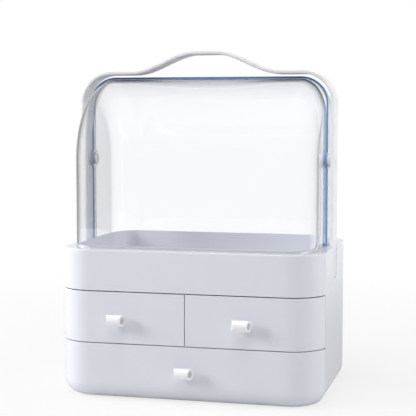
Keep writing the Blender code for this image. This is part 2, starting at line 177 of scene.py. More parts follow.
# How bright the pale room is to the rays that light the object, in a reflection of the near floor, seen
# straight through clear plastic, and by way of a reflection inside it
AMBIENT_LEVEL = 0.12
# The near floor's lower level in a reflection is painted shade
NEAR_FLOOR_LEVEL = 0.45
BACKDROP_LEVEL = 1.12
PIPED_LEVEL = 0.15


def linear(hex_colour):
    """An sRGB hex colour as the linear RGB that shaders and colour properties use."""
    values = [int(hex_colour[k:k + 2], 16) / 255 for k in (1, 3, 5)]
    return [v / 12.92 if v <= 0.04045 else ((v + 0.055) / 1.055) ** 2.4 for v in values]


class OrganizerSizes(bpy.types.PropertyGroup):
    edge_softness: bpy.props.FloatProperty(
        name="Edge softness", description="Radius of the moulded edges round each panel",
        default=0.0006, min=0.0001, max=0.001, unit="LENGTH")
    rim_round: bpy.props.FloatProperty(
        name="Rim rounding", description="Radius of the tray's top edge",
        default=0.0013, min=0.001, max=0.003, unit="LENGTH")
    seam_round: bpy.props.FloatProperty(
        name="Seam rounding", description="Radius of the case's top edge, where the tray stands on it",
        default=0.0011, min=0.0005, max=0.002, unit="LENGTH")
    orange_peel: bpy.props.FloatProperty(
        name="Orange peel", description="Width of the faint ripples in the moulded surface",
        default=0.0025, min=0.0005, max=0.01, unit="LENGTH")


class OrganizerColours(bpy.types.PropertyGroup):
    case: bpy.props.FloatVectorProperty(
        name="Case", description="Colour of the moulded case, tray and drawers",
        subtype="COLOR", size=3, min=0, max=1, default=linear("#E5E7EF"))
    # The knobs are the case's plastic painted whiter: a painted highlight for the light from above that falls
    # on them
    knob: bpy.props.FloatVectorProperty(
        name="Knobs", description="Colour of the drawer knobs",
        subtype="COLOR", size=3, min=0, max=1, default=linear("#F8F8FC"))
    handle: bpy.props.FloatVectorProperty(
        name="Handle", description="Colour of the strap handle and the pivot pins",
        subtype="COLOR", size=3, min=0, max=1, default=linear("#F0F1F9"))
    cover: bpy.props.FloatVectorProperty(
        name="Cover", description="Tint of the clear covers' surface",
        subtype="COLOR", size=3, min=0, max=1, default=linear("#FFFFFF"))
    wall_tint: bpy.props.FloatVectorProperty(
        name="Wall tint", description="Blue that light gathers along the inside of a clear wall",
        subtype="COLOR", size=3, min=0, max=1, default=linear("#63B1DB"))
    # The cut edges' blues are painted light: they stand in for the light that the clear walls pipe to their
    # edges, and the front edge is painted deeper for the darker band seen through the front wall
    rear_edge: bpy.props.FloatVectorProperty(
        name="Rear cover's edge", description="Blue that gathers in the cut edge of the rear cover",
        subtype="COLOR", size=3, min=0, max=1, default=linear("#6BA3EC"))
    front_edge: bpy.props.FloatVectorProperty(
        name="Front cover's edge", description="Deeper blue in the cut edge of the front cover",
        subtype="COLOR", size=3, min=0, max=1, default=linear("#2F6CB0"))
    screw: bpy.props.FloatVectorProperty(
        name="Screws", description="Colour of the plated screws",
        subtype="COLOR", size=3, min=0, max=1, default=linear("#C3C2BC"))


def only(*things):
    """Selects these objects and nothing else, with the first one active."""
    bpy.ops.object.select_all(action="DESELECT")
    for thing in things:
        thing.select_set(True)
    bpy.context.view_layer.objects.active = things[0]


def rest_in_place(thing, name):
    """Writes an object's place into its mesh, as every finished piece has it."""
    only(thing)
    bpy.ops.object.transform_apply(location=True, rotation=True, scale=True)
    thing.name = name
    return thing


def add_block(name, low, high):
    """A block between its lowest and highest corners."""
    low, high = Vector(low), Vector(high)
    bpy.ops.object.select_all(action="DESELECT")
    bpy.ops.mesh.primitive_cube_add(size=1, location=(low + high) / 2)
    bpy.context.object.scale = high - low
    return rest_in_place(bpy.context.object, name)


def add_rod(name, radius, start, end, steps=ROD_STEPS):
    """A round rod from one point to another."""
    start, end = Vector(start), Vector(end)
    bpy.ops.object.select_all(action="DESELECT")
    bpy.ops.mesh.primitive_cylinder_add(vertices=steps, radius=radius, depth=(end - start).length,
                                        location=(start + end) / 2)
    bpy.context.object.rotation_euler = (end - start).to_track_quat("Z", "Y").to_euler()
    return rest_in_place(bpy.context.object, name)


def edit(thing):
    only(thing)
    bpy.ops.object.mode_set(mode="EDIT")


def done():
    bpy.ops.object.mode_set(mode="OBJECT")


def pick(thing, kind, test):
    """In edit mode, selects the verts, edges or faces that pass the test, and nothing else."""
    bpy.ops.mesh.select_mode(type={"verts": "VERT", "edges": "EDGE", "faces": "FACE"}[kind])
    bpy.ops.mesh.select_all(action="DESELECT")
    shape = bmesh.from_edit_mesh(thing.data)
    for part in getattr(shape, kind):
        if test(part):
            part.select_set(True)
    bmesh.update_edit_mesh(thing.data)


def at_height(level):
    """A test for the edges that lie level at a height."""
    return lambda edge: all(abs(vert.co.z - level) < CLOSE for vert in edge.verts)


def runs_along(edge, axis):
    """Whether an edge runs along an axis, 0 for x or 2 for z."""
    return abs(edge.verts[0].co[axis] - edge.verts[1].co[axis]) > CLOSE


def apply_all(thing):
    only(thing)
    for modifier in list(thing.modifiers):
        bpy.ops.object.modifier_apply(modifier=modifier.name)


def combine(thing, operation, *others):
    """Cuts other solids from a solid or joins them to it, and uses them up."""
    for other in others:
        step = thing.modifiers.new(operation.lower(), "BOOLEAN")
        step.operation = operation
        step.object = other
        step.solver = "EXACT"
        apply_all(thing)
        bpy.data.objects.remove(other, do_unlink=True)
    return thing


def cut(thing, *others):
    return combine(thing, "DIFFERENCE", *others)


def join(thing, *others):
    return combine(thing, "UNION", *others)


def cut_past(thing, side, start, low, high):
    """Cuts off what lies past an upright plane, at a distance from the middle on a drawer's own side."""
    ends = sorted((side * start, -side * FAR_X))
    past = add_block("past", (ends[0], -FAR_Y, low - 2 * OVERRUN), (ends[1], FAR_Y, high + 2 * OVERRUN))
    return cut(thing, past)


def soften(thing, width, segments=3, angle=SMOOTH_ANGLE):
    """Rounds the moulded edges and shades the surfaces smooth across them."""
    if width:
        edge = thing.modifiers.new("soft edges", "BEVEL")
        edge.width = width
        edge.segments = segments
        edge.limit_method = "ANGLE"
        edge.angle_limit = math.radians(angle)
        edge.use_clamp_overlap = True
        edge.miter_outer = "MITER_ARC"
    only(thing)
    bpy.ops.object.shade_smooth_by_angle(angle=math.radians(angle))
    flat = thing.modifiers.new("flat faces stay flat", "WEIGHTED_NORMAL")
    flat.keep_sharp = True
    apply_all(thing)
    return thing


def round_top(thing, level, radius, segments):
    """Rounds the edge all round the top of a solid."""
    edit(thing)
    pick(thing, "edges", at_height(level))
    bpy.ops.mesh.bevel(offset=radius, segments=segments, affect="EDGES", clamp_overlap=False)
    done()


def round_head(thing, top, radius, segments):
    """Rounds the edge of a pin's or screw's head, round the face whose middle is the given point."""
    edit(thing)
    pick(thing, "faces", lambda face: (face.calc_center_median() - top).length < CLOSE)
    bpy.ops.mesh.bevel(offset=radius, segments=segments, affect="EDGES")
    done()


def finish_piece(thing, body, slot, material, *nodes):
    """Gives a piece its material and its place on a moving body, in the stead of the plain solids."""
    thing.data.materials.clear()
    thing.data.materials.append(material)
    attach(thing, body)
    if nodes:
        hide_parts(*nodes)
    return thing


def case_form(name, inset, low, high, edge_round=0.0, forward=0.0):
    """A solid with the case's outline: arcs at the corners that meet the flat sides at a soft crease."""
    radius = CORNER_RADIUS - inset
    half_x = HALF_WIDTH - CORNER_RUN_X + radius
    half_y = HALF_DEPTH - inset
    form = add_block(name, (-half_x, -half_y, low), (half_x, half_y, high))
    edit(form)
    pick(form, "edges", lambda edge: runs_along(edge, 2))
    bpy.ops.mesh.bevel(offset=radius, segments=CORNER_STEPS, affect="EDGES", clamp_overlap=False)
    for side in (-1, 1):
        bpy.ops.mesh.select_all(action="SELECT")
        bpy.ops.mesh.bisect(plane_co=(side * (HALF_WIDTH - inset), 0, 0), plane_no=(side, 0, 0),
                            use_fill=True, clear_outer=True)
    if edge_round:
        pick(form, "edges", at_height(low))
        bpy.ops.mesh.bevel(offset=edge_round, segments=ROUND_STEPS, affect="EDGES", clamp_overlap=False)
    if forward:
        bpy.ops.mesh.select_all(action="SELECT")
        bpy.ops.transform.translate(value=(0, -forward, 0))
    done()
    return form


def cover_plate(name, inset, corner_run, level):
    """A cover's outline as a flat plate, drawn in by an inset, left in edit mode."""
    run_x = COVER_RUN_X - inset
    run_r = corner_run - inset
    half_x = COVER_HALF_X - inset
    half_y = COVER_RADIUS - inset
    bpy.ops.object.select_all(action="DESELECT")
    bpy.ops.mesh.primitive_plane_add(size=2, location=(0, 0, level))
    bpy.context.object.scale = (half_x, half_y * run_x / run_r, 1)
    plate = rest_in_place(bpy.context.object, name)
    edit(plate)
    bpy.ops.mesh.select_all(action="SELECT")
    bpy.ops.mesh.bevel(offset=run_x, segments=CORNER_STEPS, affect="VERTICES", clamp_overlap=False)
    bpy.ops.mesh.select_all(action="SELECT")
    bpy.ops.transform.resize(value=(1, run_r / run_x, 1), center_override=(0, 0, level))
    return plate


def cover_prism(name, inset, low, high):
    """An upright solid with the front cover's outline."""
    prism = cover_plate(name, inset, FRONT_RUN_R, low)
    bpy.ops.mesh.select_all(action="SELECT")
    bpy.ops.mesh.extrude_region_move(TRANSFORM_OT_translate={"value": (0, 0, high - low)})
    bpy.ops.mesh.select_all(action="SELECT")
    bpy.ops.mesh.normals_make_consistent(inside=False)
    done()
    return prism


def cover_form(name, inset, corner_run, bottom):
    """The solid space under a cover: its outline spun over the pivots on straight walls."""
    form = cover_plate(name, inset, corner_run, PIVOT_Z)
    bpy.ops.mesh.select_all(action="SELECT")
    bpy.ops.mesh.bisect(plane_co=(0, 0, PIVOT_Z), plane_no=(0, 1, 0), clear_outer=True)
    pick(form, "faces", lambda face: True)
    bpy.ops.mesh.delete(type="ONLY_FACE")
    pick(form, "edges", lambda edge: all(abs(vert.co.y) < WELD for vert in edge.verts))
    bpy.ops.mesh.delete(type="EDGE")
    bpy.ops.mesh.select_all(action="SELECT")
    bpy.ops.mesh.spin(steps=ARC_STEPS, angle=math.pi, center=(0, 0, PIVOT_Z), axis=(1, 0, 0))
    bpy.ops.mesh.select_all(action="SELECT")
    bpy.ops.mesh.remove_doubles(threshold=WELD)
    pick(form, "edges", lambda edge: edge.is_boundary)
    bpy.ops.mesh.extrude_edges_move(TRANSFORM_OT_translate={"value": (0, 0, bottom - PIVOT_Z)})
    bpy.ops.mesh.edge_face_add()
    bpy.ops.mesh.select_all(action="SELECT")
    bpy.ops.mesh.normals_make_consistent(inside=False)
    done()
    return form


def add_node(tree, kind, inputs=None, **settings):
    """Adds one shader node, sets it up, and links or sets its inputs by name or number."""
    made = tree.nodes.new(kind)
    for key, value in settings.items():
        setattr(made, key, value)
    for key, value in (inputs or {}).items():
        if isinstance(value, bpy.types.NodeSocket):
            tree.links.new(value, made.inputs[key])
        else:
            made.inputs[key].default_value = value
    return made


def new_material(name):
    """A material with nothing in it but its output."""
    made = bpy.data.materials.new(name)
    made.use_nodes = True
    made.node_tree.nodes.clear()
    return made, made.node_tree, made.node_tree.nodes.new("ShaderNodeOutputMaterial")


def shown_level(tree, others, reflected, through, piped):
    """How bright the pale surroundings are: 1 to the camera, and as given in a reflection, straight through
    clear plastic, by way of a reflection inside it, and to the rays that light the object."""
    ray = add_node(tree, "ShaderNodeLightPath").outputs
    bounced = {}
    for way in ("Glossy Depth", "Diffuse Depth"):
        step = add_node(tree, "ShaderNodeMath", {0: ray[way], 1: 0.5}, operation="GREATER_THAN")
        bounced[way] = step.outputs[0]
    clear = add_node(tree, "ShaderNodeMapRange", {
        "Value": bounced["Glossy Depth"], "To Min": through, "To Max": piped}).outputs["Result"]
    level = others
    for share, amount in (
            (ray["Is Glossy Ray"], reflected), (ray["Is Transmission Ray"], clear),
            (bounced["Diffuse Depth"], others), (ray["Is Camera Ray"], 1.0)):
        step = add_node(tree, "ShaderNodeMapRange", {"Value": share, "To Min": level, "To Max": amount})
        level = step.outputs["Result"]
    return level


def fade(colour, amount):
    """A colour made darker by a factor, with its alpha."""
    return [c * amount for c in colour[:3]] + [1]


def moulded_abs(name, colour):
    """White ABS from a polished mould: a soft gloss over faint orange peel."""
    made, tree, out = new_material(name)
    peel = 1 / bpy.context.scene.organizer_sizes.orange_peel
    place = add_node(tree, "ShaderNodeTexCoord").outputs["Object"]
    # Pigment flows in slow clouds about 40 mm across, seen only as a slight unevenness of the white
    cloud = add_node(tree, "ShaderNodeTexNoise", {
        "Vector": place, "Scale": 25, "Detail": 3, "Roughness": 0.5})
    tone = add_node(tree, "ShaderNodeMix", {
        "Factor": cloud.outputs["Fac"], "A": fade(colour, 0.985), "B": fade(colour, 1.0)}, data_type="RGBA")
    # Handling leaves the gloss a little duller in slow patches of about 60 mm
    wear = add_node(tree, "ShaderNodeTexNoise", {"Vector": place, "Scale": 16, "Detail": 0})
    dull = add_node(tree, "ShaderNodeMapRange", {
        "Value": wear.outputs["Fac"], "To Min": 0.23, "To Max": 0.27})
    # Real orange peel is under 1 mm and would not show, so it is drawn a little wider
    ripple = add_node(tree, "ShaderNodeTexNoise", {
        "Vector": place, "Scale": peel, "Detail": 2, "Roughness": 0.4})
    bump = add_node(tree, "ShaderNodeBump", {
        "Height": ripple.outputs["Fac"], "Strength": 0.03, "Distance": 0.0004})
    shader = add_node(tree, "ShaderNodeBsdfPrincipled", {
        "Base Color": tone.outputs["Result"], "Roughness": dull.outputs["Result"],
        "Normal": bump.outputs["Normal"], "IOR": 1.53,
        "Subsurface Weight": 0.06, "Subsurface Radius": (1, 1, 1), "Subsurface Scale": 0.002})
    tree.links.new(shader.outputs["BSDF"], out.inputs["Surface"])
    return made


def handle_plastic(name, colour):
    """Milky polypropylene, moulded: soft sheen, and light bleeds a little into its thickness."""
    made, tree, out = new_material(name)
    place = add_node(tree, "ShaderNodeTexCoord").outputs["Object"]
    # The milkiness and the dullness vary in clouds about 25 mm across
    cloud = add_node(tree, "ShaderNodeTexNoise", {
        "Vector": place, "Scale": 40, "Detail": 3, "Roughness": 0.5})
    tone = add_node(tree, "ShaderNodeMix", {
        "Factor": cloud.outputs["Fac"], "A": fade(colour, 0.97), "B": fade(colour, 1.0)}, data_type="RGBA")
    dull = add_node(tree, "ShaderNodeMapRange", {
        "Value": cloud.outputs["Fac"], "From Min": 0.3, "From Max": 0.7, "To Min": 0.42, "To Max": 0.52})
    # Fine flow lines about 1 mm apart run along the strap from its moulding gate
    stretched = add_node(tree, "ShaderNodeMapping", {"Vector": place, "Scale": (60, 900, 60)})
    flow = add_node(tree, "ShaderNodeTexNoise", {
        "Vector": stretched.outputs["Vector"], "Scale": 1, "Detail": 2, "Roughness": 0.5})
    bump = add_node(tree, "ShaderNodeBump", {
        "Height": flow.outputs["Fac"], "Strength": 0.05, "Distance": 0.0002})
    shader = add_node(tree, "ShaderNodeBsdfPrincipled", {
        "Base Color": tone.outputs["Result"], "Roughness": dull.outputs["Result"],
        "Normal": bump.outputs["Normal"], "IOR": 1.49,
        "Subsurface Weight": 0.8, "Subsurface Radius": (1, 1, 1), "Subsurface Scale": 0.008})
    tree.links.new(shader.outputs["BSDF"], out.inputs["Surface"])
    return made


def clear_styrene(name, colour):
    """Clear polystyrene, polished: water-clear walls that gather a blue tint along their length."""
    made, tree, out = new_material(name)
    place = add_node(tree, "ShaderNodeTexCoord").outputs["Object"]
    # Wiping leaves hair-fine dulling; it is drawn about 8 mm wide so that it just shows in the gloss
    wipe = add_node(tree, "ShaderNodeTexNoise", {
        "Vector": place, "Scale": 120, "Detail": 4, "Roughness": 0.6})
    dull = add_node(tree, "ShaderNodeMapRange", {
        "Value": wipe.outputs["Fac"], "From Min": 0.4, "From Max": 0.8, "To Min": 0.0, "To Max": 0.02})
    shader = add_node(tree, "ShaderNodeBsdfPrincipled", {
        "Base Color": fade(colour, 1.0), "Roughness": dull.outputs["Result"], "IOR": 1.57,
        "Transmission Weight": 1.0})
    tree.links.new(shader.outputs["BSDF"], out.inputs["Surface"])
    depth = add_node(tree, "ShaderNodeVolumeAbsorption", {
        "Color": fade(bpy.context.scene.organizer_colours.wall_tint, 1.0), "Density": 16})
    tree.links.new(depth.outputs["Volume"], out.inputs["Volume"])
    return made


def frosted_edge_painted_light(name, colour):
    """The covers' sawn edge: fine saw marks frost it, and its blue is painted light, standing in for the
    light that the whole wall pipes into its edge.
    """
    made, tree, out = new_material(name)
    place = add_node(tree, "ShaderNodeTexCoord").outputs["Object"]
    # Real saw marks are finer, and are drawn about 1.5 mm apart so that they show
    mark = add_node(tree, "ShaderNodeTexNoise", {
        "Vector": place, "Scale": 650, "Detail": 1, "Roughness": 0.5})
    tone = add_node(tree, "ShaderNodeMix", {
        "Factor": mark.outputs["Fac"], "A": fade(colour, 0.9), "B": fade(colour, 1.0)}, data_type="RGBA")
    dull = add_node(tree, "ShaderNodeMapRange", {
        "Value": mark.outputs["Fac"], "To Min": 0.5, "To Max": 0.7})
    shader = add_node(tree, "ShaderNodeBsdfPrincipled", {
        "Base Color": tone.outputs["Result"], "Roughness": dull.outputs["Result"], "IOR": 1.57,
        "Subsurface Weight": 0.3, "Subsurface Radius": (1, 1, 1), "Subsurface Scale": 0.002})
    tree.links.new(shader.outputs["BSDF"], out.inputs["Surface"])
    return made


def plated_steel(name, colour):
    """Zinc-plated steel, cold headed: bright but not polished, with the faint mottle of its plating."""
    made, tree, out = new_material(name)
    place = add_node(tree, "ShaderNodeTexCoord").outputs["Object"]
    # The real mottle is finer, and is drawn about 0.7 mm wide so that it shows
    mark = add_node(tree, "ShaderNodeTexNoise", {
        "Vector": place, "Scale": 1500, "Detail": 3, "Roughness": 0.6})
    dull = add_node(tree, "ShaderNodeMapRange", {
        "Value": mark.outputs["Fac"], "From Min": 0.3, "From Max": 0.7, "To Min": 0.25, "To Max": 0.42})
    bump = add_node(tree, "ShaderNodeBump", {
        "Height": mark.outputs["Fac"], "Strength": 0.15, "Distance": 0.0001})
    shader = add_node(tree, "ShaderNodeBsdfPrincipled", {
        "Base Color": fade(colour, 1.0), "Roughness": dull.outputs["Result"],
        "Normal": bump.outputs["Normal"], "Metallic": 1.0})
    tree.links.new(shader.outputs["BSDF"], out.inputs["Surface"])
    return made


FINISHES = {
    "case": ("white_abs_polished_moulding", moulded_abs),
    # The knobs' material is the case's plastic painted lighter, a painted highlight
    "knob": ("bright_white_abs_polished_moulding", moulded_abs),
    "handle": ("milky_polypropylene_moulding", handle_plastic),
    "cover": ("clear_polystyrene_polished", clear_styrene),
    # The sawn edges' blues are painted light, for the light piped along the clear walls
    "rear_edge": ("clear_polystyrene_sawn_edge", frosted_edge_painted_light),
    "front_edge": ("clear_polystyrene_sawn_edge_deep", frosted_edge_painted_light),
    "screw": ("zinc_plated_steel_cold_headed", plated_steel),
}


def finish_of(key):
    """The finished material for a kind of plastic or metal, made once."""
    name, maker = FINISHES[key]
    colour = list(getattr(bpy.context.scene.organizer_colours, key))
    return bpy.data.materials.get(name) or maker(name, colour)


def studio_floor_matte():
    """Pale matte floor that keeps the object's shadow and fades into the white room round it."""
    made, tree, out = new_material("studio_floor_matte")
    matte = add_node(tree, "ShaderNodeBsdfDiffuse", {"Color": (0.80, 0.80, 0.80, 1)})
    place = add_node(tree, "ShaderNodeTexCoord").outputs["Object"]
    away = add_node(tree, "ShaderNodeVectorMath", {0: place}, operation="LENGTH").outputs["Value"]
    # Painted shade: in the case's gloss the floor's glow is darker near the object, and brightens from 0.4 to
    # 1.2 m from the middle
    mirrored = add_node(tree, "ShaderNodeMapRange", {
        "Value": away, "From Min": 0.4, "From Max": 1.2, "To Min": NEAR_FLOOR_LEVEL, "To Max": 1.0})
    glow = add_node(tree, "ShaderNodeEmission", {
        "Color": (1, 1, 1, 1),
        "Strength": shown_level(tree, 0.0, mirrored.outputs["Result"], BACKDROP_LEVEL, PIPED_LEVEL)})
    # The shadow is at its strongest within 0.15 m of the middle and gone at 0.9 m
    fade_out = add_node(tree, "ShaderNodeMapRange", {
        "Value": away, "From Min": 0.15, "From Max": 0.9, "To Min": 0.75, "To Max": 1.0})
    share = add_node(tree, "ShaderNodeMath", {
        0: shown_level(tree, 0.0, 1.0, 1.0, 1.0), 1: fade_out.outputs["Result"]}, operation="MULTIPLY")
    blend = add_node(tree, "ShaderNodeMixShader", {
        0: share.outputs[0], 1: matte.outputs[0], 2: glow.outputs[0]})
    tree.links.new(blend.outputs[0], out.inputs["Surface"])
    return made


def set_camera(scene):
    """Stands the camera where the photograph was taken from."""
    bpy.ops.object.camera_add(location=CAMERA_PLACE,
                              rotation=(math.radians(90 - CAMERA_DOWN), 0, math.radians(CAMERA_TURN)))
    camera = bpy.context.object
    camera.name = "photo_camera"
    camera.data.sensor_width = SENSOR_WIDTH
    camera.data.lens = SENSOR_WIDTH * FOCAL_PIXELS / PHOTO_WIDTH
    camera.data.clip_end = CAMERA_REACH
    scene.camera = camera


def lay_floor():
    """A wide floor at the height that the object stands on."""
    bpy.ops.object.select_all(action="DESELECT")
    bpy.ops.mesh.primitive_plane_add(size=FLOOR_SIZE, location=(0, 0, 0))
    floor = bpy.context.object
    floor.name = "studio_floor"
    floor.data.materials.append(studio_floor_matte())


def light_room(scene):
    """A pale room all round: white to the camera, in gloss and through clear plastic, and dim as a light."""
    world = bpy.data.worlds.new("studio_light")
    scene.world = world
    world.use_nodes = True
    tree = world.node_tree
    tree.nodes.clear()
    level = shown_level(tree, AMBIENT_LEVEL, 1.0, BACKDROP_LEVEL, PIPED_LEVEL)
    sky = add_node(tree, "ShaderNodeBackground", {"Color": (1, 1, 1, 1), "Strength": level})
    tree.links.new(sky.outputs[0], add_node(tree, "ShaderNodeOutputWorld").inputs["Surface"])


def hang_lamps():
    """Soft boxes that shine through the clear covers, which mirror only the bright room."""
    clear_pieces = bpy.data.collections.new("clear_pieces")
    # Each lamp's name, place, the height that it is aimed at, its size and its watts
    for name, place, aim, size, power in (
            ("key_softbox", (-3.20, -1.98, 1.75), 0.15, 1.4, 74.0),
            ("left_softbox", (-2.60, 0.10, 1.00), 0.2, 1.2, 41.0),
            ("right_softbox", (1.90, 0.10, 0.80), 0.2, 1.2, 20.5),
            ("top_softbox", (0.0, -1.60, 2.20), 0.2, 1.2, 13.5),
            ("overhead_softbox", (0.0, -0.30, 1.90), 0.2, 1.0, 8.0)):
        bpy.ops.object.light_add(type="AREA", location=place)
        lamp = bpy.context.object
        lamp.name = name
        lamp.data.size = size
        lamp.data.energy = power
        lamp.rotation_euler = (UP * aim - Vector(place)).to_track_quat("-Z", "Y").to_euler()
        lamp.light_linking.receiver_collection = clear_pieces
        lamp.light_linking.blocker_collection = clear_pieces


class ORGANIZER_OT_stage(bpy.types.Operator):
    """Sets the camera, the soft studio light and the pale floor"""
    bl_idname = "organizer.stage"
    bl_label = "Studio"

    def execute(self, context):
        context.scene.view_settings.view_transform = "Standard"
        set_camera(context.scene)
        lay_floor()
        light_room(context.scene)
        hang_lamps()
        return {"FINISHED"}


class ORGANIZER_OT_lower_case(bpy.types.Operator):
    """Moulds the lower case: bottom, back and sides, open in front for the drawers"""
    bl_idname = "organizer.lower_case"
    bl_label = "Lower case"

    def execute(self, context):
        sizes = context.scene.organizer_sizes
        top = case_high.z
        case = case_form("lower_case_moulding", 0, 0, top, BOTTOM_ROUND)
        round_top(case, top, sizes.seam_round, SEAM_STEPS)
        hollow = case_form("hollow", WALL, WALL, top + OVERRUN, BOTTOM_ROUND - WALL)
        front = add_block("front", (-FAR_X, -FAR_Y, -OVERRUN), (FAR_X, SEAM_Y + SIDE_SEAM / 2, top + OVERRUN))
        cut(case, front, hollow)
        soften(case, sizes.edge_softness)
        finish_piece(case, "case", "white_case", finish_of("case"), "lower_case")
        return {"FINISHED"}


def tongue_form(name, low, high, spare, x_start, x_end):
    """The strap's rounded lower end as an upright slab, from x_start to x_end."""
    half = STRAP_WIDTH / 2 + spare
    form = add_block(name, (min(x_start, x_end), -half, low), (max(x_start, x_end), half, high))
    at_bottom = at_height(low)
    edit(form)
    pick(form, "edges", lambda edge: at_bottom(edge) and runs_along(edge, 0))
    bpy.ops.mesh.bevel(offset=TONGUE_CORNER + spare, segments=TONGUE_STEPS, affect="EDGES",
                       clamp_overlap=False)
    done()
    return form


class ORGANIZER_OT_top_tray(bpy.types.Operator):
    """Moulds the open tray with its rim ledge, raised lip and the recesses for the handle"""
    bl_idname = "organizer.top_tray"
    bl_label = "Top tray"

    def execute(self, context):
        sizes = context.scene.organizer_sizes
        floor = TRAY_BOTTOM + WALL
        lip_top = tray_high.z
        tray = case_form("top_tray_moulding", 0, TRAY_BOTTOM, RIM)
        round_top(tray, RIM, sizes.rim_round, RIM_STEPS)
        join(tray, cover_prism("lip", LIP_INSET, floor, lip_top))
        cut(tray, cover_prism("cavity", CAVITY_INSET, floor, lip_top + OVERRUN))
        under = TRAY_BOTTOM - 2 * OVERRUN
        half = STRAP_WIDTH / 2 + OVERRUN
        groove = case_form("groove", WALL, TRAY_BOTTOM - OVERRUN, RIM - WALL)
        cut(groove, cover_prism("core", CAVITY_INSET - WALL, under, RIM),
            add_block("blocks", (-FAR_X, -half, under), (FAR_X, half, RIM)))
        cut(tray, groove)
        recess_x = STRAP_OUT - STRAP_THICKNESS - GAP
        face_x = COVER_HALF_X - CAVITY_INSET
        for word, side in SIDES.items():
            cut(tray, tongue_form("recess", TONGUE_BOTTOM - GAP, RIM + OVERRUN, GAP,
                                  side * recess_x, side * (HALF_WIDTH + OVERRUN)))
            for k in (0, 1):
                low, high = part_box(f"{word}_handle_screw_{k}")
                middle = (low + high) / 2
                cut(tray, add_rod("seat", high.y - middle.y + GAP, (side * (face_x - OVERRUN), 0, middle.z),
                                  (side * (face_x + SCREW_HEAD_HEIGHT + GAP), 0, middle.z)))
        soften(tray, sizes.edge_softness * THIN_LIP_SHARE)
        finish_piece(tray, "case", "white_case", finish_of("case"), "top_tray")
        return {"FINISHED"}


class ORGANIZER_OT_drawer_fronts(bpy.types.Operator):
    """Moulds the three drawer fronts, which wrap round the case's rounded corners"""
    bl_idname = "organizer.drawer_fronts"
    bl_label = "Drawer fronts"

    def execute(self, context):
        for word in DRAWERS:
            low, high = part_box(f"{word}_drawer_front")
            wide = word == "lower"
            outer_round, inner_round = (BOTTOM_ROUND, BOTTOM_ROUND - WALL) if wide else (0, 0)
            bottom = low.z + WALL if wide else low.z - OVERRUN
            front = case_form(f"{word}_drawer_front_moulding", 0, low.z, high.z, outer_round)
            hollow = case_form("hollow", WALL, bottom, high.z + OVERRUN, inner_round)
            behind = add_block("behind", (-FAR_X, SEAM_Y - SIDE_SEAM / 2, low.z - OVERRUN),
                               (FAR_X, FAR_Y, high.z + OVERRUN))
            cut(front, hollow, behind)
            if not wide:
                cut_past(front, SIDES[word], SEAM / 2, low.z, high.z)
            soften(front, context.scene.organizer_sizes.edge_softness)
            finish_piece(front, f"{word}_drawer", "white_case", finish_of("case"), f"{word}_drawer_front")
        return {"FINISHED"}


class ORGANIZER_OT_drawer_boxes(bpy.types.Operator):
    """Moulds the three open drawer boxes behind the fronts"""
    bl_idname = "organizer.drawer_boxes"
    bl_label = "Drawer boxes"

    def execute(self, context):
        inset = WALL + DRAWER_CLEARANCE
        forward = DRAWER_CLEARANCE - GAP
        for word in DRAWERS:
            low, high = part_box(f"{word}_drawer_box")
            wide = word == "lower"
            bottom_round = BOTTOM_ROUND - WALL if wide else DRAWER_BOTTOM_ROUND
            tub = case_form(f"{word}_drawer_box_moulding", inset, low.z, high.z, bottom_round, forward)
            room = case_form("room", inset + DRAWER_WALL, low.z + DRAWER_WALL, high.z + OVERRUN,
                             bottom_round - DRAWER_WALL, forward)
            if not wide:
                start = min(abs(low.x), abs(high.x))
                cut_past(tub, SIDES[word], start, low.z, high.z)
                cut_past(room, SIDES[word], start + DRAWER_WALL, low.z, high.z)
            cut(tub, room)
            soften(tub, context.scene.organizer_sizes.edge_softness)
            finish_piece(tub, f"{word}_drawer", "white_case", finish_of("case"), f"{word}_drawer_box")
        return {"FINISHED"}


class ORGANIZER_OT_knobs(bpy.types.Operator):
    """Makes the round cross-bar knobs, hollow at both ends, each on its neck"""
    bl_idname = "organizer.knobs"
    bl_label = "Knobs"

    def execute(self, context):
        along = Vector((KNOB_LENGTH, 0, 0))
        for word in DRAWERS:
            low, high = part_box(f"{word}_drawer_knob")
            middle = (low + high) / 2
            centre = Vector((middle.x, low.y + KNOB_RADIUS, middle.z))
            knob = add_rod(f"{word}_drawer_knob_turned", KNOB_RADIUS,
                           centre - along, centre + along, FINE_STEPS)
            edit(knob)
            for side in (-1, 1):
                bpy.ops.mesh.select_all(action="SELECT")
                bpy.ops.mesh.bisect(plane_co=centre + along * side / 2,
                                    plane_no=Vector((side * KNOB_RADIUS, -KNOB_SLANT, 0)).normalized(),
                                    use_fill=True, clear_outer=True)
            done()
            join(knob, add_rod("neck", KNOB_NECK, (middle.x, high.y, middle.z), centre))
            for side in (-1, 1):
                cut(knob, add_rod("bore", KNOB_BORE, centre + Vector((side * KNOB_CORE / 2, 0, 0)),
                                  centre + along * side, FINE_STEPS))
            soften(knob, KNOB_SOFTNESS)
            # The knobs take the lighter copy of the case plastic, a painted highlight
            finish_piece(knob, f"{word}_drawer", "white_case", finish_of("knob"), f"{word}_drawer_knob")
        return {"FINISHED"}


def edge_skin(shell, name, toward):
    """A thin skin just off a cover's sawn edge, which faces against the given direction along y. It catches
    the lamps' light, which passes through the clear wall, and its blue is painted light for the light that
    the wall pipes to its edge. Split off the shell, it keeps the shell's node."""
    def sawn(face):
        middle = face.calc_center_median()
        outside_bore = math.hypot(middle.y, middle.z - PIVOT_Z) > 2 * PIN_RADIUS
        return face.normal.y * -toward > SAWN_FACING and abs(middle.y) < EAR_RADIUS and outside_bore

    edit(shell)
    pick(shell, "faces", sawn)
    bpy.ops.mesh.duplicate()
    bpy.ops.mesh.separate(type="SELECTED")
    done()
    skin = next(thing for thing in bpy.context.selected_objects if thing != shell)
    edit(skin)
    bpy.ops.mesh.select_all(action="SELECT")
    bpy.ops.transform.translate(value=(0, -toward * SKIN_GAP, 0))
    done()
    skin.name = name
    depth = skin.modifiers.new("depth", "SOLIDIFY")
    depth.thickness = SKIN_DEPTH
    depth.offset = 1
    apply_all(skin)
    return skin


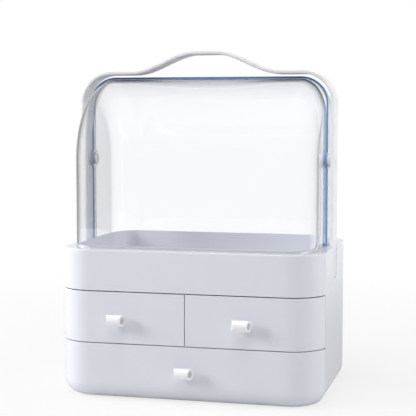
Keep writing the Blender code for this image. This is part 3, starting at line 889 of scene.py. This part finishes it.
class ORGANIZER_OT_covers(bpy.types.Operator):
    """Moulds the two clear half covers, one nested in the other, with their pivot ears"""
    bl_idname = "organizer.covers"
    bl_label = "Clear covers"

    def execute(self, context):
        clear_pieces = bpy.data.collections["clear_pieces"]
        for word, inset, corner_run, toward in (
                ("front", FRONT_INSET, FRONT_RUN_R, -1), ("rear", 0, REAR_RUN_R, 1)):
            shell = cover_form(f"{word}_cover_clear", inset, corner_run, COVER_BOTTOM)
            hollow = cover_form("hollow", inset + COVER_WALL, corner_run, COVER_BOTTOM - OVERRUN)
            ends = sorted((-toward * COVER_LAP, -toward * FAR_Y))
            other = add_block("other", (-FAR_X, ends[0], 0), (FAR_X, ends[1], 2 * cover_high.z))
            cut(other, add_rod("ears", EAR_RADIUS, (-FAR_X - HALF_WIDTH, 0, PIVOT_Z),
                               (FAR_X + HALF_WIDTH, 0, PIVOT_Z), EAR_STEPS))
            cut(shell, hollow, other)
            cut(shell, add_rod("bore", PIN_RADIUS + GAP, (-FAR_X, 0, PIVOT_Z),
                               (FAR_X, 0, PIVOT_Z), FINE_STEPS))
            soften(shell, COVER_SOFTNESS, segments=2)
            finish_piece(shell, f"{word}_cover", "clear_cover", finish_of("cover"), f"{word}_cover")
            # The blue skin on the sawn edge is painted light: the glow of light piped along the clear wall
            sawn = edge_skin(shell, f"{word}_cover_sawn_edge", toward)
            finish_piece(sawn, f"{word}_cover", "clear_cover", finish_of(f"{word}_edge"))
            clear_pieces.objects.link(shell)
            clear_pieces.collection_objects[-1].light_linking.link_state = "EXCLUDE"
        return {"FINISHED"}


def half_strap(name, middle_x):
    """The strap's right half as a sheet along the middle of its thickness, from its tongue to the grip."""
    radius = STRAP_CORNER - STRAP_THICKNESS / 2
    top = STRAP_TOP - STRAP_THICKNESS / 2
    bend_z = top - radius
    bpy.ops.object.select_all(action="DESELECT")
    bpy.ops.mesh.primitive_plane_add(size=1, location=(middle_x, 0, (TONGUE_BOTTOM + bend_z) / 2),
                                     rotation=(0, math.radians(90), 0))
    bpy.context.object.scale = (bend_z - TONGUE_BOTTOM, STRAP_WIDTH, 1)
    strap = rest_in_place(bpy.context.object, name)
    edit(strap)
    pick(strap, "verts", lambda vert: vert.co.z < TONGUE_BOTTOM + CLOSE)
    bpy.ops.mesh.bevel(offset=TONGUE_CORNER, segments=TONGUE_STEPS, affect="VERTICES", clamp_overlap=False)
    pick(strap, "edges", at_height(bend_z))
    bpy.ops.mesh.spin(steps=BEND_STEPS, angle=math.pi / 2, center=(middle_x - radius, 0, bend_z),
                      axis=(0, 1, 0))
    here = Vector((middle_x - radius, 0, top))
    for k in range(GRIP_STEPS + 1):
        x = GRIP_RUN - GRIP_RUN * k / GRIP_STEPS
        share = min((GRIP_RUN - x) / (GRIP_RUN - GRIP_FLAT), 1)
        there = Vector((x, 0, top + GRIP_RISE * share * share * (3 - 2 * share)))
        bpy.ops.mesh.extrude_edges_move(TRANSFORM_OT_translate={"value": there - here})
        here = there
    done()
    return strap


class ORGANIZER_OT_handle(bpy.types.Operator):
    """Moulds the strap handle, from its tongues in the tray up to the raised grip"""
    bl_idname = "organizer.handle"
    bl_label = "Strap handle"

    def execute(self, context):
        middle_x = STRAP_OUT - STRAP_THICKNESS / 2
        strap = half_strap("carry_handle_moulding", middle_x)
        mirror = strap.modifiers.new("left half", "MIRROR")
        mirror.use_clip = True
        mirror.merge_threshold = CLOSE
        apply_all(strap)
        edit(strap)
        bpy.ops.mesh.select_all(action="SELECT")
        bpy.ops.mesh.normals_make_consistent(inside=False)
        done()
        thick = strap.modifiers.new("thickness", "SOLIDIFY")
        thick.thickness = STRAP_THICKNESS
        thick.offset = 0
        thick.use_even_offset = True
        apply_all(strap)
        soften(strap, STRAP_SOFTNESS, angle=STRAP_SMOOTH_ANGLE)
        for side in (-1, 1):
            boss = add_rod("boss", BOSS_RADIUS, (side * middle_x, 0, PIVOT_Z),
                           (side * (COVER_HALF_X + GAP), 0, PIVOT_Z), FINE_STEPS)
            join(strap, soften(boss, BOSS_SOFTNESS))
            cut(strap, add_rod("bore", PIN_RADIUS + GAP, (side * (COVER_HALF_X - OVERRUN), 0, PIVOT_Z),
                               (side * (COVER_HALF_X + PIN_BITE + 2 * GAP), 0, PIVOT_Z)))
        only(strap)
        bpy.ops.object.shade_smooth_by_angle(angle=math.radians(SMOOTH_ANGLE))
        finish_piece(strap, "case", "handle", finish_of("handle"), "carry_handle")
        return {"FINISHED"}


def domed_pin(word, side):
    """A pivot pin, its domed head inside the covers."""
    low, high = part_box(f"{word}_pivot_pin")
    inner, outer = sorted((low.x, high.x), key=abs)
    pin = add_rod(f"{word}_pivot_pin_turned", high.y, (inner, 0, PIVOT_Z),
                  (inner + side * PIN_HEAD_HEIGHT, 0, PIVOT_Z), FINE_STEPS)
    round_head(pin, Vector((inner, 0, PIVOT_Z)), PIN_DOME, PIN_DOME_STEPS)
    join(pin, add_rod("shaft", PIN_RADIUS, (inner + side * SHANK_START, 0, PIVOT_Z), (outer, 0, PIVOT_Z)))
    return soften(pin, PIN_SOFTNESS)


def cross_screw(name, axis, radius):
    """A screw driven in along an axis, with a rounded head and a cross recess in its top."""
    low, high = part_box(name)
    middle = (low + high) / 2
    across = high.z - middle.z
    reach = abs((high - middle).dot(axis))
    top = middle - axis * reach
    screw = add_rod(f"{name}_cross_head", across, top, top + axis * SCREW_HEAD_HEIGHT)
    round_head(screw, top, SCREW_DOME, SCREW_DOME_STEPS)
    join(screw, add_rod("shank", radius, top + axis * SHANK_START, middle + axis * reach, SHANK_STEPS))
    for way in (UP, UP.cross(axis)):
        half = way * across * RECESS_SHARE + axis.cross(way) * RECESS_HALF
        spans = list(zip(top - half - axis * RECESS_OVERRUN, top + half + axis * RECESS_DEPTH))
        cut(screw, add_block("recess", [min(span) for span in spans], [max(span) for span in spans]))
    return soften(screw, 0)


class ORGANIZER_OT_fasteners(bpy.types.Operator):
    """Makes the domed pivot pins and the cross-recess screws"""
    bl_idname = "organizer.fasteners"
    bl_label = "Pins and screws"

    def execute(self, context):
        for word, side in SIDES.items():
            finish_piece(domed_pin(word, side), "case", "handle", finish_of("handle"), f"{word}_pivot_pin")
        for word, side in SIDES.items():
            for k in (0, 1):
                name = f"{word}_handle_screw_{k}"
                screw = cross_screw(name, Vector((side, 0, 0)), HANDLE_SCREW_RADIUS)
                finish_piece(screw, "case", "screw", finish_of("screw"), name)
        for word in DRAWERS:
            name = f"{word}_drawer_screw"
            screw = cross_screw(name, Vector((0, -1, 0)), DRAWER_SCREW_RADIUS)
            finish_piece(screw, f"{word}_drawer", "screw", finish_of("screw"), name)
        return {"FINISHED"}


class ORGANIZER_OT_plain_panels(bpy.types.Operator):
    """Gives the flat shelf and divider inside the case their moulded finish"""
    bl_idname = "organizer.plain_panels"
    bl_label = "Shelf and divider"

    def execute(self, context):
        for name in ("drawer_shelf", "drawer_divider"):
            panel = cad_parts[name]
            panel.data.materials.clear()
            panel.data.materials.append(finish_of("case"))
        return {"FINISHED"}


OPERATORS = (ORGANIZER_OT_stage, ORGANIZER_OT_lower_case, ORGANIZER_OT_top_tray, ORGANIZER_OT_drawer_fronts,
             ORGANIZER_OT_drawer_boxes, ORGANIZER_OT_knobs, ORGANIZER_OT_covers, ORGANIZER_OT_handle,
             ORGANIZER_OT_fasteners, ORGANIZER_OT_plain_panels)


class ORGANIZER_PT_panel(bpy.types.Panel):
    """Lists the organizer's pieces with their sizes and colours"""
    bl_idname = "ORGANIZER_PT_panel"
    bl_label = "Makeup Organizer"
    bl_space_type = "VIEW_3D"
    bl_region_type = "UI"
    bl_category = "Organizer"

    def draw(self, context):
        for group in (context.scene.organizer_sizes, context.scene.organizer_colours):
            for key in group.__annotations__:
                self.layout.prop(group, key)
        for operator in OPERATORS:
            self.layout.operator(operator.bl_idname)


CLASSES = (OrganizerSizes, OrganizerColours, *OPERATORS, ORGANIZER_PT_panel)


def register():
    for cls in CLASSES:
        bpy.utils.register_class(cls)
    bpy.types.Scene.organizer_sizes = bpy.props.PointerProperty(type=OrganizerSizes)
    bpy.types.Scene.organizer_colours = bpy.props.PointerProperty(type=OrganizerColours)


def unregister():
    del bpy.types.Scene.organizer_colours
    del bpy.types.Scene.organizer_sizes
    for cls in reversed(CLASSES):
        bpy.utils.unregister_class(cls)


def main():
    register()
    for operator in OPERATORS:
        group, name = operator.bl_idname.split(".")
        getattr(getattr(bpy.ops, group), name)()


if __name__ == "__main__":
    main()
